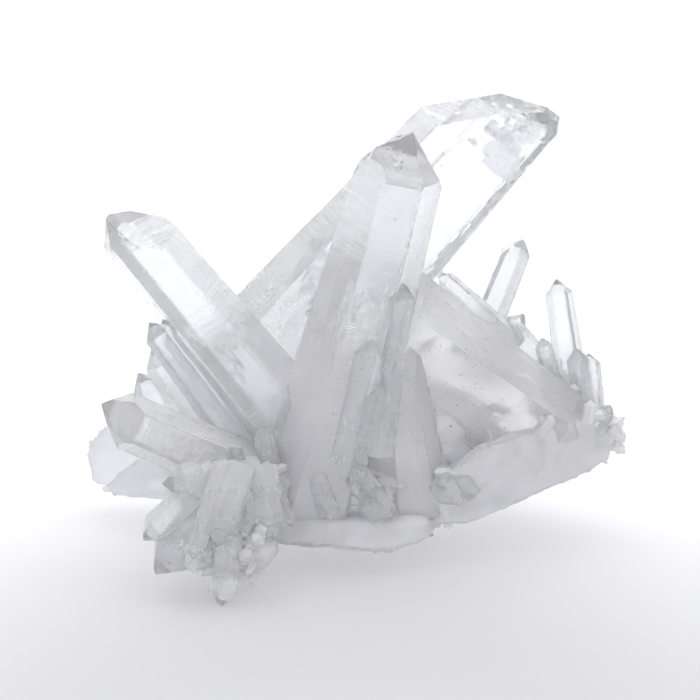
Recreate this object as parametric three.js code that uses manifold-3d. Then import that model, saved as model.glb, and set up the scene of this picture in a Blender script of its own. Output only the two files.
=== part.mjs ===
// A natural quartz crystal cluster, about 120 mm across and 100 mm tall.
//
// Six-sided prisms with rhombohedral points grow out of one rough, milky matrix. The largest are an upright
// tower in front, a flat blade that leans to the right behind it, a spear that leans to the left, and a
// stout prism that slopes down to the right like a roof. Smaller crystals fill the spaces between them.
// Every crystal is a convex solid bounded by planes: six prism faces, six point faces and a buried root.
// Where two crystals meet, the smaller one stops at the larger one, and the matrix fits round them all.
//
// Units are millimetres, +Z up. The viewer stands on the -Y side.
import * as THREE from "three";
import { ConvexGeometry } from "three/addons/geometries/ConvexGeometry.js";
import { mergeVertices } from "three/addons/utils/BufferGeometryUtils.js";
import Module from "manifold-3d";

const wasm = await Module();
wasm.setup();

// ---------------------------------------------------------------- driving dimensions
const POINT_ANGLE = THREE.MathUtils.degToRad(51.8); // a quartz point face's normal leans this far from the axis
const POINT_RISE = Math.tan(POINT_ANGLE); // a point's height for each millimetre from axis to prism face
const FACE_STEP = THREE.MathUtils.degToRad(60); // from one prism face to the next
const SEAM = 0.3; // gap between pieces that have grown against each other
const UNEVEN = 0.12; // how far a small crystal's faces stray from regular, as a share of its radius
const SMALL_TAPER = 1.2; // degrees by which a small crystal's sides draw in
const SAME_POINT = 1e-3; // corners closer than this are one corner
const LUMP_POINTS = 40; // corners on a rough lump of matrix
const LUMP_ROUGHNESS = 0.16; // how far those corners stray, as a share of the lump's radius
const GOLDEN_TURN = Math.PI * (3 - Math.sqrt(5));
const TRIM_BLOCK = 300; // a block of this size planes the underside flat

const clearQuartz = new THREE.MeshStandardMaterial({ color: 0xe4e6ec, roughness: 0.08, metalness: 0 });
const cloudyQuartz = new THREE.MeshStandardMaterial({ color: 0xd2d3d6, roughness: 0.3, metalness: 0 });
const matrixQuartz = new THREE.MeshStandardMaterial({ color: 0xc6c6ca, roughness: 0.55, metalness: 0 });

// ---------------------------------------------------------------- the crystals
// foot and tip: the two ends of a crystal's axis, the foot buried and the tip where its point faces meet.
// sides: the distances from the axis to the six prism faces at the shoulder, or one radius for a small crystal.
// turn: how far face 0 is turned away from the viewer, in degrees; faces follow each other every 60 degrees.
// taper: how far the prism faces lean in towards the point, in degrees.
// caps: how far each point face is moved up the axis from the tip; a lower face is a larger one.
// breaks: planes where the crystal has chipped, each given by the way it faces and a point on it.
const LARGE_CRYSTALS = [
  {
    name: "front_tower",
    foot: [-9, -9, 10],
    tip: [13.2, -12, 98],
    sides: [8, 7.9, 9.1, 8, 9, 7.1],
    turn: 4,
    taper: 2.3,
    caps: [-1, -0.5, -0.5, 0, 1, 0.5],
    breaks: [
      { facing: [-0.79, -0.1, 0.61], at: [4.9, -11, 92.8] },
      { facing: [-0.38, 0.05, 0.92], at: [14, -12, 97] },
    ],
  },
  {
    name: "roof_prism",
    foot: [5, 4, 54],
    tip: [56.5, 4, 17],
    sides: [10, 14.2, 12, 10, 8.2, 10.6],
    turn: 8,
    taper: 3,
    caps: [0, 0, 0, 0, 0, 0],
  },
  {
    name: "leaning_blade",
    foot: [-27.5, 16, 24],
    tip: [38.7, 14, 101],
    sides: [5.9, 12.8, 13.5, 5.9, 12.9, 13],
    turn: 12,
    taper: 2.3,
    caps: [7, 12, 12, 0, -1.3, -1.3],
    breaks: [
      { facing: [0.22, -0.2, 0.95], at: [30.3, 12, 97.8] },
      { facing: [0.62, -0.35, 0.7], at: [44.4, 12, 93] },
      { facing: [0.5, -0.8, 0.33], at: [37, 8, 91] },
    ],
  },
  {
    name: "left_spear",
    foot: [-11, -3, 26],
    tip: [-51, -8, 79],
    sides: [6.8, 7, 7, 6.8, 7, 7],
    turn: -6,
    taper: 1.3,
    caps: [1, -3, 0, 0, 2, 3],
  },
  {
    name: "core_prism",
    foot: [15, -7, 10],
    tip: [11, -7, 50],
    sides: [7, 4.5, 6, 8, 9, 7],
    turn: 10,
    taper: 6,
    caps: [0, 0, 0, 0, 0, 0],
  },
  {
    name: "low_left_spear",
    foot: [-22, -14, 20],
    tip: [-55.5, -22, 38.5],
    sides: [5.5, 5.6, 5, 4.8, 5.4, 5.8],
    turn: 12,
    taper: 0.8,
    caps: [-3, 0, 0, 0, -2, -1],
  },
];

const SMALL_CRYSTALS = [
  // beside and in front of the left spear
  { name: "left_companion_front", foot: [-19, -10, 17], tip: [-43.5, -16, 55.5], sides: 2.7, turn: 20 },
  { name: "left_companion_rear", foot: [-18, -6, 22.5], tip: [-41, -10.5, 54.5], sides: 3.2, turn: -10 },
  { name: "left_stub", foot: [-30, -1, 20], tip: [-44, -2, 45.5], sides: 3.6, turn: 10 },
  { name: "left_rear_point", foot: [-34, 8, 9], tip: [-48, 8, 36], sides: 4.2, turn: 25 },
  // grown onto the front of the tower
  { name: "tower_side_slab", foot: [6, -17.5, 26], tip: [11.5, -18, 65], sides: 2.6, turn: 30 },
  { name: "tower_front_point", foot: [-2, -17, 22], tip: [5, -20, 53], sides: 3.4, turn: -12 },
  { name: "tower_low_point", foot: [0, -17, 22], tip: [7, -21.5, 43], sides: 2.8, turn: 16 },
  // along the far side of the roof prism
  { name: "right_tall_point", foot: [28, 20, 34], tip: [39.5, 24, 63], sides: 3.3, turn: 28 },
  { name: "right_far_point", foot: [51.5, 9, 26], tip: [46.5, 12, 57], sides: 2.8, turn: 0 },
  { name: "right_short_point", foot: [31, 17, 36], tip: [40, 21, 46], sides: 2.6, turn: 15 },
  { name: "ridge_lath_upper", foot: [38, 15, 40], tip: [20, 16, 57], sides: 2, turn: 20 },
  { name: "ridge_lath_lower", foot: [48, 14, 31], tip: [35.5, 16, 45.5], sides: 2.4, turn: 10 },
  { name: "edge_point_left", foot: [47, 7, 31], tip: [43, 6, 45], sides: 1.6, turn: 5 },
  { name: "edge_point_middle", foot: [53, 5, 28], tip: [50.5, 5, 43], sides: 2.2, turn: 20 },
  { name: "edge_point_right", foot: [55, 3, 26], tip: [53.5, 4, 42], sides: 2.1, turn: 0 },
  { name: "edge_end_point", foot: [54, 2, 22], tip: [58.5, 0.5, 31], sides: 2, turn: 12 },
  // at the front, between the tower and the lip
  { name: "front_sliver", foot: [-3, -18, 8], tip: [-7.5, -22.5, 23.5], sides: 2, turn: 24 },
  { name: "front_cube_point", foot: [8, -16, 10], tip: [0.5, -23.5, 25], sides: 3, turn: -20 },
  { name: "front_blunt_point", foot: [7, -15, 10], tip: [5, -27.5, 19], sides: 3.1, turn: 10 },
  { name: "front_right_block", foot: [24, -8, 11], tip: [19.5, -19.5, 20], sides: 3.1, turn: -24 },
  { name: "front_right_point", foot: [29, -7, 12], tip: [23, -16.5, 19], sides: 2.6, turn: 12 },
  { name: "front_left_point", foot: [-16, -14, 15], tip: [-19.5, -18.5, 33], sides: 1.9, turn: 15 },
  { name: "front_left_bud", foot: [-22, -19, 18], tip: [-25.5, -24.5, 30], sides: 1.9, turn: 30 },
  // the rosette that fans out and down at the front left
  { name: "rosette_left_crown", foot: [-20, -24, 22.5], tip: [-40.5, -30, 23.5], sides: 4, turn: 20 },
  { name: "rosette_left_point", foot: [-28, -28, 25], tip: [-44.5, -34, 12], sides: 3, turn: 12 },
  { name: "rosette_left_slab", foot: [-26, -28, 21], tip: [-42, -36.5, 5], sides: 4.6, turn: 35 },
  { name: "rosette_lath_left", foot: [-27, -30, 28], tip: [-33.5, -42.5, 11], sides: 1.6, turn: 5 },
  { name: "rosette_lath_middle", foot: [-24, -29, 27], tip: [-28.5, -42, 13.5], sides: 3, turn: -8 },
  { name: "rosette_lath_right", foot: [-22.5, -28, 23], tip: [-22.5, -38.5, 14.5], sides: 1.8, turn: 22 },
  { name: "rosette_right_point", foot: [-20.5, -26, 25], tip: [-16.5, -36, 12], sides: 3, turn: 5 },
  { name: "rosette_splinter", foot: [-17.5, -20, 22], tip: [-12.5, -26, 12], sides: 1.3, turn: 5 },
  { name: "rosette_foot_point", foot: [-26, -36, 16], tip: [-27.5, -42, 0], sides: 2.7, turn: 10 },
  // round the back, which the front crystals hide
  { name: "back_tall_point", foot: [-6, 20, 14], tip: [-16, 42, 50], sides: 5.2, turn: 12 },
  { name: "back_stout_point", foot: [12, 20, 14], tip: [17, 46, 41], sides: 6.2, turn: -18 },
  { name: "back_left_point", foot: [-24, 16, 12], tip: [-42, 34, 33], sides: 4.4, turn: 8 },
  { name: "back_low_point", foot: [4, 24, 10], tip: [0, 50, 22], sides: 4, turn: 30 },
  { name: "back_right_point", foot: [28, 18, 14], tip: [40, 38, 30], sides: 3.8, turn: 0 },
  { name: "back_slim_point", foot: [2, 22, 20], tip: [3, 38, 50], sides: 2.6, turn: 14 },
];

// ---------------------------------------------------------------- the matrix
// Rough lumps: a centre and three radii. The first two are the flat-bottomed ones that carry the cluster.
const LUMPS = [
  { at: [0, 13, 7], radii: [29, 21, 13] },
  { at: [0, 8, 18], radii: [28, 19, 14] },
  { at: [-6, 0, 26], radii: [17, 13, 14] },
  { at: [16, 4, 26], radii: [17, 12, 13] },
  { at: [-24, 0, 17], radii: [13, 13, 10] },
  { at: [10, -9, 14], radii: [18, 8, 8] },
  { at: [-8, -13, 14], radii: [14, 7, 8] },
  { at: [-21, 16, 19], radii: [15, 11, 13] },
  { at: [20, 16, 24], radii: [14, 10, 11] },
  { at: [-22, -18, 18], radii: [8, 10, 8] }, // the neck of the rosette
  { at: [-28, -28, 18], radii: [8, 7, 8] },
  { at: [-32, -34, 9.5], radii: [10.5, 5.5, 5] }, // the rosette's skirt
  { at: [-23, -33, 9.5], radii: [8, 5, 5.5] },
  { at: [56, 5, 22], radii: [5, 6, 4] }, // the crumbly right-hand end
  { at: [51, 6, 27], radii: [5, 4, 7] },
  { at: [46, 9, 31], radii: [6, 4, 6] },
];

// Broken plates and wedges: the corners of each.
const SHARDS = [
  // the lip, a low step along the front
  [
    [-21, -20, 6.5], [-14, -24, 7], [-3, -25.5, 7], [8, -25.5, 5.6], [15, -22.5, 6.8], [18.5, -19, 7],
    [-16, -19, 11], [-4, -22, 11.5], [10, -22, 12], [17, -17, 11.5], [-18, -6, 3], [16, -6, 3], [18, -6, 10],
  ],
  // the right arm, a smooth broken face that overhangs the ground
  [
    [18, -16, 8], [26.5, -12.5, 7.2], [33.5, -9, 9.8], [39, -6.5, 10.8], [44, -4, 12.2], [51, -2, 14.3],
    [59, 4, 16.4], [61, 4, 22.5], [54, -2, 29.5], [47, -6, 29.5], [35, -11.5, 26.5], [28, -13.5, 26],
    [22, -15, 21], [52, 16, 26], [40, 24, 14], [20, 22, 3], [58, 10, 24],
  ],
  // the rear plate at the far left
  [
    [-61.5, 17, 12.5], [-61, 16, 16], [-56.5, 14, 21.5], [-59.5, 17, 5], [-52, 18, 4.5], [-42, 18, 6],
    [-44, 14, 24], [-28, 6, 22], [-22, 8, 8], [-58, 21, 12], [-50, 21, 7],
  ],
  // the front plate at the far left
  [
    [-55, 8, 10.5], [-57, 8, 7.6], [-54, 9, 5.6], [-44, 8, 5.2], [-38, 4, 6.8], [-24, 0, 8],
    [-47, 5, 18], [-34, 0, 18], [-46, 13, 9], [-26, 12, 8],
  ],
];

// ---------------------------------------------------------------- small tools
const vector = ([x, y, z]) => new THREE.Vector3(x, y, z);

// A repeatable stream of numbers from 0 to 1.
function stream(seed) {
  let state = seed;
  return () => {
    state = (state * 16807) % 2147483647;
    return state / 2147483647;
  };
}

// A closed three.js geometry as a solid that can be joined and cut.
function solidOf(geometry) {
  const bare = geometry.index ? geometry.toNonIndexed() : geometry.clone();
  bare.deleteAttribute("normal");
  bare.deleteAttribute("uv");
  const merged = mergeVertices(bare, SAME_POINT / 10);
  return new wasm.Manifold(
    new wasm.Mesh({
      numProp: 3,
      vertProperties: new Float32Array(merged.attributes.position.array),
      triVerts: new Uint32Array(merged.index.array),
    }),
  );
}

function geometryOf(solid) {
  const mesh = solid.getMesh();
  const geometry = new THREE.BufferGeometry();
  geometry.setAttribute("position", new THREE.BufferAttribute(new Float32Array(mesh.vertProperties), 3));
  geometry.setIndex(new THREE.BufferAttribute(new Uint32Array(mesh.triVerts), 1));
  const faceted = geometry.toNonIndexed();
  faceted.computeVertexNormals();
  return faceted;
}

const largestPiece = (solid) => solid.decompose().sort((a, b) => b.volume() - a.volume())[0];

// ---------------------------------------------------------------- a crystal from its planes
// Three directions: along the axis, towards the viewer, and across to complete the set.
function axesOf(foot, tip) {
  const along = tip.clone().sub(foot).normalize();
  const front = new THREE.Vector3(0, -1, 0);
  front.addScaledVector(along, -front.dot(along)).normalize();
  return { along, front, across: along.clone().cross(front) };
}

function sidesOf(sides, seed) {
  if (Array.isArray(sides)) return sides;
  const next = stream(seed);
  return Array.from({ length: 6 }, () => sides * (1 + UNEVEN * (2 * next() - 1)));
}

// The planes that bound a crystal, each moved outwards by grow.
function planesOf({ foot, tip, sides, turn, taper, caps, breaks = [] }, grow) {
  const [root, apex] = [vector(foot), vector(tip)];
  const { along, front, across } = axesOf(root, apex);
  const meanSide = sides.reduce((sum, side) => sum + side, 0) / sides.length;
  const shoulder = apex.clone().addScaledVector(along, -meanSide * POINT_RISE);
  const lean = THREE.MathUtils.degToRad(taper);
  const plane = (normal, point) =>
    new THREE.Plane().setFromNormalAndCoplanarPoint(normal, point.clone().addScaledVector(normal, grow));
  const planes = [plane(along.clone().negate(), root)];
  for (let face = 0; face < 6; face++) {
    const angle = THREE.MathUtils.degToRad(turn) + face * FACE_STEP;
    const outwards = front.clone().multiplyScalar(Math.cos(angle)).addScaledVector(across, Math.sin(angle));
    const sideNormal = outwards.clone().multiplyScalar(Math.cos(lean)).addScaledVector(along, Math.sin(lean));
    planes.push(plane(sideNormal, shoulder.clone().addScaledVector(outwards, sides[face])));
    const capNormal = outwards
      .clone()
      .multiplyScalar(Math.sin(POINT_ANGLE))
      .addScaledVector(along, Math.cos(POINT_ANGLE));
    planes.push(plane(capNormal, apex.clone().addScaledVector(along, caps[face])));
  }
  breaks.forEach(({ facing, at }) => planes.push(plane(vector(facing).normalize(), vector(at))));
  return planes;
}

// The point where three planes meet, or null where they don't meet in one point.
function meetingPoint(a, b, c) {
  const bc = b.normal.clone().cross(c.normal);
  const span = a.normal.dot(bc);
  if (Math.abs(span) < SAME_POINT) return null;
  return bc
    .multiplyScalar(-a.constant)
    .addScaledVector(c.normal.clone().cross(a.normal), -b.constant)
    .addScaledVector(a.normal.clone().cross(b.normal), -c.constant)
    .divideScalar(span);
}

// The convex solid that a set of planes bounds.
function convexBody(planes) {
  const corners = [];
  planes.forEach((a, i) =>
    planes.slice(i + 1).forEach((b, j) =>
      planes.slice(i + j + 2).forEach((c) => {
        const point = meetingPoint(a, b, c);
        const inside = point && planes.every((p) => p.distanceToPoint(point) < SAME_POINT / 10);
        if (inside && corners.every((other) => other.distanceTo(point) > SAME_POINT)) corners.push(point);
      }),
    ),
  );
  return solidOf(new ConvexGeometry(corners));
}

// ---------------------------------------------------------------- the rough pieces of matrix
function lump({ at, radii }, seed) {
  const next = stream(seed);
  const corners = Array.from({ length: LUMP_POINTS }, (_, i) => {
    const height = 1 - (2 * (i + 0.5)) / LUMP_POINTS;
    const ring = Math.sqrt(1 - height * height);
    const turn = i * GOLDEN_TURN;
    const direction = new THREE.Vector3(ring * Math.cos(turn), ring * Math.sin(turn), height);
    return direction.multiply(vector(radii)).multiplyScalar(1 + LUMP_ROUGHNESS * (next() - 0.5)).add(vector(at));
  });
  return solidOf(new ConvexGeometry(corners));
}

const shard = (corners) => solidOf(new ConvexGeometry(corners.map(vector)));

function roughMatrix() {
  const pieces = [...LUMPS.map((one, i) => lump(one, 101 + 37 * i)), ...SHARDS.map(shard)];
  const joined = pieces.reduce((all, piece) => all.add(piece));
  const ground = new THREE.BoxGeometry(TRIM_BLOCK, TRIM_BLOCK, TRIM_BLOCK);
  return joined.subtract(solidOf(ground.translate(0, 0, -TRIM_BLOCK / 2)));
}

// ---------------------------------------------------------------- assembly
const crystals = [...LARGE_CRYSTALS, ...SMALL_CRYSTALS].map((given, i) => ({
  taper: SMALL_TAPER,
  caps: [0, 0.6, 0, 0.9, 0, 0.3],
  ...given,
  sides: sidesOf(given.sides, 11 + 29 * i),
  material: i < LARGE_CRYSTALS.length ? clearQuartz : cloudyQuartz,
}));

const cluster = new THREE.Group();
function place(name, solid, material) {
  const mesh = new THREE.Mesh(geometryOf(solid), material);
  mesh.name = name;
  cluster.add(mesh);
}

const occupied = [];
for (const crystal of crystals) {
  const whole = convexBody(planesOf(crystal, 0));
  const free = occupied.reduce((left, taken) => left.subtract(taken), whole);
  place(crystal.name, largestPiece(free), crystal.material);
  occupied.push(convexBody(planesOf(crystal, SEAM)));
}
const matrix = occupied.reduce((left, taken) => left.subtract(taken), roughMatrix());
place("matrix", largestPiece(matrix), matrixQuartz);

// The part's origin is the middle of its underside.
const box = new THREE.Box3().setFromObject(cluster);
const middle = box.getCenter(new THREE.Vector3());
cluster.position.set(-middle.x, -middle.y, -box.min.z);

export default new THREE.Group().add(cluster);
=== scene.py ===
"""A natural quartz crystal cluster: clear points grown out of a milky, broken matrix.

Every crystal is built from the planes that bound it, in millimetres, cut back where an earlier crystal
stands in its way, sliced finely across its axis, and given the growth steps, grooves and chips of natural
rock crystal. The mesh is then turned to metres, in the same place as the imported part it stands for.
"""

import itertools
import math
import random

import bmesh
import bpy
import numpy as np
from bpy.props import FloatProperty, FloatVectorProperty, IntProperty, PointerProperty
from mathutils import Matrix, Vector, noise


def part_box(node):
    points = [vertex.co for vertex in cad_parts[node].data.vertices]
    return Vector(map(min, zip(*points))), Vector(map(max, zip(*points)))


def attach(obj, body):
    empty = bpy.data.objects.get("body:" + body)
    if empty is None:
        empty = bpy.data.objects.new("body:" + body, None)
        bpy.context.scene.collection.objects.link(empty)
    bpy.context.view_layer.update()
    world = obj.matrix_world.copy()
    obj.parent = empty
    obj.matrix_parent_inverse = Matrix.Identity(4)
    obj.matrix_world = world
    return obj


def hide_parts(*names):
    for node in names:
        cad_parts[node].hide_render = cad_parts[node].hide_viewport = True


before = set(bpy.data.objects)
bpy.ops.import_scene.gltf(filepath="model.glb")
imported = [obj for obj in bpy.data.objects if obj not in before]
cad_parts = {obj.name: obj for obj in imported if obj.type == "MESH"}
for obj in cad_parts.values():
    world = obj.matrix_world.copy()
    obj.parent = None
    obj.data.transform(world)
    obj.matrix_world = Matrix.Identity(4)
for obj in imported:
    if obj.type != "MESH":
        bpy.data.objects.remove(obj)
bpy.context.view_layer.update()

bl_info = {
    "name": "Quartz Crystal Cluster",
    "version": (1, 0, 0),
    "blender": (4, 5, 0),
    "location": "View3D > Sidebar > Quartz",
    "description": "Grows a natural quartz crystal cluster on its milky matrix, with a small studio",
    "category": "Add Mesh",
}

MM = 0.001

# ---- the crystals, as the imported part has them
POINT_ANGLE = math.radians(51.8)  # a point face's normal leans this far from the axis
POINT_RISE = math.tan(POINT_ANGLE)
UNEVEN = 0.12  # how much the six sides of a small crystal differ, as a share
SMALL_TAPER = 1.2  # degrees that a small crystal's faces lean in
SMALL_CAPS = (0, 0.6, 0, 0.9, 0, 0.3)  # mm that each point face of a small crystal is moved up its axis

# name, foot, tip, six sides, turn, taper, how far each point face is moved up the axis
LARGE_CRYSTALS = (
    ("front_tower", (-9, -9, 10), (13.2, -12, 98), (8, 7.9, 9.1, 8, 9, 7.1), 4, 2.3, (-1, -0.5, -0.5, 0, 1, 0.5)),
    ("roof_prism", (5, 4, 54), (56.5, 4, 17), (10, 14.2, 12, 10, 8.2, 10.6), 8, 3, (0, 0, 0, 0, 0, 0)),
    (
        "leaning_blade", (-27.5, 16, 24), (38.7, 14, 101), (5.9, 12.8, 13.5, 5.9, 12.9, 13), 12, 2.3,
        (7, 12, 12, 0, -1.3, -1.3),
    ),
    ("left_spear", (-11, -3, 26), (-51, -8, 79), (6.8, 7, 7, 6.8, 7, 7), -6, 1.3, (1, -3, 0, 0, 2, 3)),
    ("core_prism", (15, -7, 10), (11, -7, 50), (7, 4.5, 6, 8, 9, 7), 10, 6, (0, 0, 0, 0, 0, 0)),
    (
        "low_left_spear", (-22, -14, 20), (-55.5, -22, 38.5), (5.5, 5.6, 5, 4.8, 5.4, 5.8), 12, 0.8,
        (-3, 0, 0, 0, -2, -1),
    ),
)

# Chipped faces: the way each one faces and a point on it.
BREAKS = {
    "front_tower": (
        ((-0.79, -0.1, 0.61), (4.9, -11, 92.8)),
        ((-0.38, 0.05, 0.92), (14, -12, 97)),
    ),
    "leaning_blade": (
        ((0.22, -0.2, 0.95), (30.3, 12, 97.8)),
        ((0.62, -0.35, 0.7), (44.4, 12, 93)),
        ((0.5, -0.8, 0.33), (37, 8, 91)),
    ),
}

# name, foot, tip, side, turn
SMALL_CRYSTALS = (
    ("left_companion_front", (-19, -10, 17), (-43.5, -16, 55.5), 2.7, 20),
    ("left_companion_rear", (-18, -6, 22.5), (-41, -10.5, 54.5), 3.2, -10),
    ("left_stub", (-30, -1, 20), (-44, -2, 45.5), 3.6, 10),
    ("left_rear_point", (-34, 8, 9), (-48, 8, 36), 4.2, 25),
    ("tower_side_slab", (6, -17.5, 26), (11.5, -18, 65), 2.6, 30),
    ("tower_front_point", (-2, -17, 22), (5, -20, 53), 3.4, -12),
    ("tower_low_point", (0, -17, 22), (7, -21.5, 43), 2.8, 16),
    ("right_tall_point", (28, 20, 34), (39.5, 24, 63), 3.3, 28),
    ("right_far_point", (51.5, 9, 26), (46.5, 12, 57), 2.8, 0),
    ("right_short_point", (31, 17, 36), (40, 21, 46), 2.6, 15),
    ("ridge_lath_upper", (38, 15, 40), (20, 16, 57), 2, 20),
    ("ridge_lath_lower", (48, 14, 31), (35.5, 16, 45.5), 2.4, 10),
    ("edge_point_left", (47, 7, 31), (43, 6, 45), 1.6, 5),
    ("edge_point_middle", (53, 5, 28), (50.5, 5, 43), 2.2, 20),
    ("edge_point_right", (55, 3, 26), (53.5, 4, 42), 2.1, 0),
    ("edge_end_point", (54, 2, 22), (58.5, 0.5, 31), 2, 12),
    ("front_sliver", (-3, -18, 8), (-7.5, -22.5, 23.5), 2, 24),
    ("front_cube_point", (8, -16, 10), (0.5, -23.5, 25), 3, -20),
    ("front_blunt_point", (7, -15, 10), (5, -27.5, 19), 3.1, 10),
    ("front_right_block", (24, -8, 11), (19.5, -19.5, 20), 3.1, -24),
    ("front_right_point", (29, -7, 12), (23, -16.5, 19), 2.6, 12),
    ("front_left_point", (-16, -14, 15), (-19.5, -18.5, 33), 1.9, 15),
    ("front_left_bud", (-22, -19, 18), (-25.5, -24.5, 30), 1.9, 30),
    ("rosette_left_crown", (-20, -24, 22.5), (-40.5, -30, 23.5), 4, 20),
    ("rosette_left_point", (-28, -28, 25), (-44.5, -34, 12), 3, 12),
    ("rosette_left_slab", (-26, -28, 21), (-42, -36.5, 5), 4.6, 35),
    ("rosette_lath_left", (-27, -30, 28), (-33.5, -42.5, 11), 1.6, 5),
    ("rosette_lath_middle", (-24, -29, 27), (-28.5, -42, 13.5), 3, -8),
    ("rosette_lath_right", (-22.5, -28, 23), (-22.5, -38.5, 14.5), 1.8, 22),
    ("rosette_right_point", (-20.5, -26, 25), (-16.5, -36, 12), 3, 5),
    ("rosette_splinter", (-17.5, -20, 22), (-12.5, -26, 12), 1.3, 5),
    ("rosette_foot_point", (-26, -36, 16), (-27.5, -42, 0), 2.7, 10),
    ("back_tall_point", (-6, 20, 14), (-16, 42, 50), 5.2, 12),
    ("back_stout_point", (12, 20, 14), (17, 46, 41), 6.2, -18),
    ("back_left_point", (-24, 16, 12), (-42, 34, 33), 4.4, 8),
    ("back_low_point", (4, 24, 10), (0, 50, 22), 4, 30),
    ("back_right_point", (28, 18, 14), (40, 38, 30), 3.8, 0),
    ("back_slim_point", (2, 22, 20), (3, 38, 50), 2.6, 14),
)

# How clear each crystal is: the share of its length where it starts to clear and where it is clear,
# then how clear its root and its point are, from 0 (milk) to 1 (water).
CLARITY = {
    "front_tower": (0.33, 0.64, 0.22, 0.72),
    "roof_prism": (0.1, 0.9, 0.30, 0.34),
    "leaning_blade": (0.22, 0.74, 0.35, 0.9),
    "left_spear": (0.08, 0.66, 0.40, 0.72),
    "core_prism": (0.2, 0.9, 0.15, 0.2),
    "low_left_spear": (0.05, 0.7, 0.3, 0.45),
    "right_tall_point": (0.2, 0.6, 0.5, 0.8),
    "right_far_point": (0.2, 0.6, 0.5, 0.85),
    "left_companion_front": (0.15, 0.6, 0.5, 0.75),
    "left_companion_rear": (0.15, 0.6, 0.5, 0.75),
    "tower_side_slab": (0.0, 0.5, 0.6, 0.9),
    "tower_front_point": (0.0, 0.6, 0.4, 0.75),
}
USUAL_CLARITY = (0.05, 0.85, 0.35, 0.7)

# How heavily iron stains each crystal's sides and its point, from 0 to 1.
STAINS = {
    "front_tower": (0.16, 0.75),
    "roof_prism": (0.7, 0.7),
    "leaning_blade": (0.12, 0.25),
    "left_spear": (0.1, 0.35),
    "low_left_spear": (0.45, 0.7),
    "core_prism": (0.4, 0.3),
}
USUAL_STAIN = (0.08, 0.15)

# Where a prism face drops by a step along the axis: face, distance from the face's middle, drop, in mm.
TERRACES = {
    "roof_prism": ((0, 1.6, 0.35), (0, 6.4, 0.3), (5, 2.0, 0.25), (5, -2.5, 0.3)),
    "leaning_blade": ((0, 9.5, 0.3), (0, -8.5, 0.25), (3, 3.0, 0.4)),
    "left_spear": ((0, 1.2, 0.12), (5, 0.5, 0.15)),
    "front_tower": ((0, 2.6, 0.1), (1, 1.0, 0.12), (5, -1.5, 0.12)),
    "low_left_spear": ((0, 0.8, 0.15),),
    "core_prism": ((0, -1.0, 0.3), (1, 1.0, 0.3)),
}

# Healed and open fractures inside the clear crystals. Each is a thin curved gap: share of the length,
# offsets across and to the front, the way it faces (along, across, front), its two radii, how crumpled
# it is and how clear its faces are. Lengths are in mm.
FRACTURES = {
    "front_tower": (
        (0.57, -0.8, 1.8, (0.5, 0.3, 0.8), 3.4, 2.6, 0.9, 0.55),
        (0.545, -2.6, 2.2, (0.2, 0.9, 0.4), 3.2, 1.2, 0.5, 0.9),
        (0.58, 3.4, 2, (0.1, 0.9, -0.4), 4.2, 1, 0.4, 0.95),
        (0.5, -3.6, 2.4, (0.1, 0.9, 0.5), 5.5, 0.9, 0.3, 0.95),
        (0.48, 1, 1.5, (0.6, -0.4, 0.7), 3.8, 2.4, 0.8, 0.8),
        (0.43, 3.8, 2.8, (0, 0.9, 0.3), 7, 1.1, 0.4, 0.95),
        (0.905, -1.5, 0.5, (0.7, 0.5, 0.5), 2.6, 2, 0.5, 0.9),
    ),
    "leaning_blade": (
        (0.85, 6.6, 0.4, (0.22, 0.12, 0.97), 5.2, 6.2, 0.55, 0.34),
        (0.885, 3.4, 0.6, (0.55, 0.3, 0.75), 2.6, 5, 0.7, 0.6),
        (0.93, 6.4, 0.2, (0.5, 0.2, 0.8), 3.2, 3.2, 0.5, 0.5),
        (0.915, 2, 0.8, (0.8, -0.3, 0.5), 3.2, 4.2, 0.6, 0.85),
        (0.88, 1.2, 2.2, (0.75, 0.5, 0.4), 0.9, 3.4, 0.3, 0.97),
        (0.838, -1.4, 2.4, (0.7, 0.6, 0.3), 0.8, 2.6, 0.3, 0.97),
        (0.9, -5, 0, (0.5, -0.6, 0.6), 2.6, 5, 0.6, 0.9),
        (0.4, -8, 0.5, (0.3, 0.5, 0.8), 6, 4, 1.2, 0.7),
        (0.46, -4, 1.5, (0.4, -0.5, 0.7), 5, 3.6, 1.1, 0.8),
        (0.35, -3, 1, (0.2, 0.6, 0.7), 6, 3, 1.1, 0.7),
        (0.48, 3, -1, (0.5, 0.3, 0.8), 6, 4, 1, 0.8),
    ),
    "left_spear": (
        (0.5, -3.6, 1.6, (0.2, 0.7, 0.6), 3.4, 1.6, 0.7, 0.9),
        (0.42, 1.5, 1, (0.6, 0.3, 0.7), 3, 3.2, 0.6, 0.85),
        (0.34, -1, 0.5, (0.3, -0.7, 0.6), 4.5, 2.4, 0.7, 0.8),
        (0.88, -1, 0, (0.5, 0.6, 0.6), 2, 2.6, 0.3, 0.95),
    ),
    "low_left_spear": (
        (0.61, 2, 0.2, (0.3, 0.5, 0.8), 3.4, 2, 0.6, 0.6),
        (0.5, -1.6, 0.4, (0.6, -0.5, 0.6), 3, 1.8, 0.6, 0.8),
    ),
    "roof_prism": (
        (0.36, -5, 4, (0.3, 0.6, 0.7), 4.5, 2.4, 0.8, 0.7),
        (0.22, -1, 5, (0.8, 0.4, 0.4), 2.6, 5, 0.7, 0.8),
        (0.55, 3, 5, (0.4, 0.6, 0.6), 4, 3, 0.7, 0.7),
    ),
    "right_tall_point": ((0.32, 0.3, 0.3, (0.6, 0.5, 0.6), 1.8, 1.4, 0.4, 0.9),),
    "right_far_point": ((0.22, 0.2, 0.2, (0.5, -0.5, 0.6), 1.8, 1.2, 0.4, 0.9),),
    "back_tall_point": ((0.5, 0.5, 0, (0.5, 0.5, 0.7), 3.4, 2.4, 0.7, 0.85),),
    "back_stout_point": ((0.55, 0.5, 0, (0.6, -0.5, 0.6), 3.6, 3, 0.8, 0.85),),
}
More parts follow.
